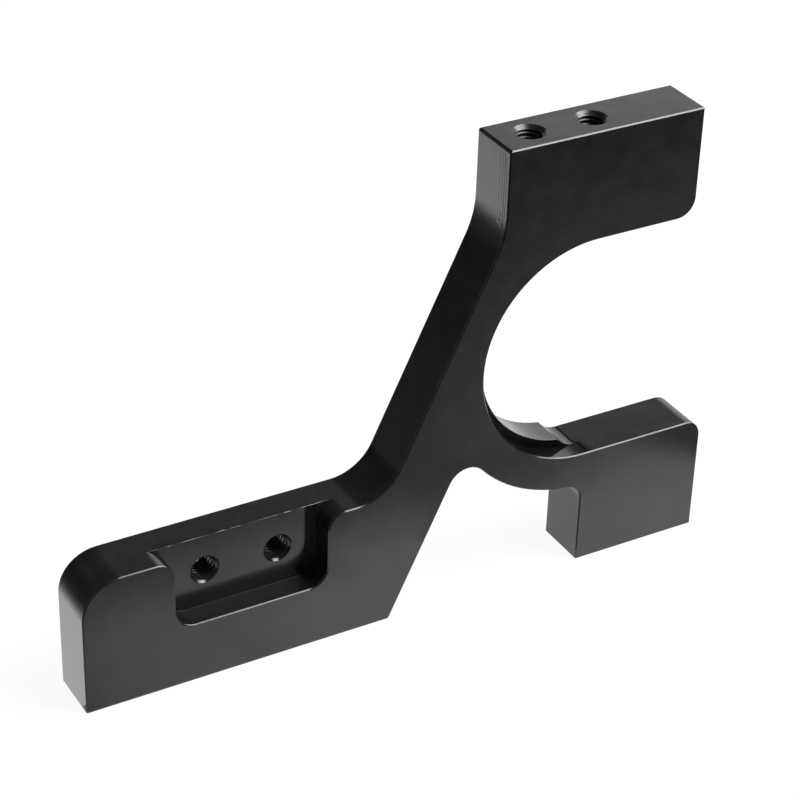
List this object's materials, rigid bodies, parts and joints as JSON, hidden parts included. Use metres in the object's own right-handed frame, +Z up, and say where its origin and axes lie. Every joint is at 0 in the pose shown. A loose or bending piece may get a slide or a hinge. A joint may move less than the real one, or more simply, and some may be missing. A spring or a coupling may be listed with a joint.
{
  "type": "milled support bracket",
  "caption": "Milled aluminium bracket: a foot with a pocket of tapped holes, a leaning strut, a drilled head, and an arm and pad round a side slot with a stepped seat.",
  "frame": {"origin": "middle of the bracket's box in X and Y, on the plane that the foot and the pad stand on", "axes": "+X from the foot to the pad, +Y from the front face with the pocket to the back face, +Z up from the foot to the head"},
  "size_m": [0.1908, 0.016, 0.1353],
  "materials": {
    "anodised_aluminium": "black anodised, fine milled surface with a satin gloss"
  },
  "bodies": {
    "root": {"milled_bracket": "anodised_aluminium"}
  },
  "joints": []
}
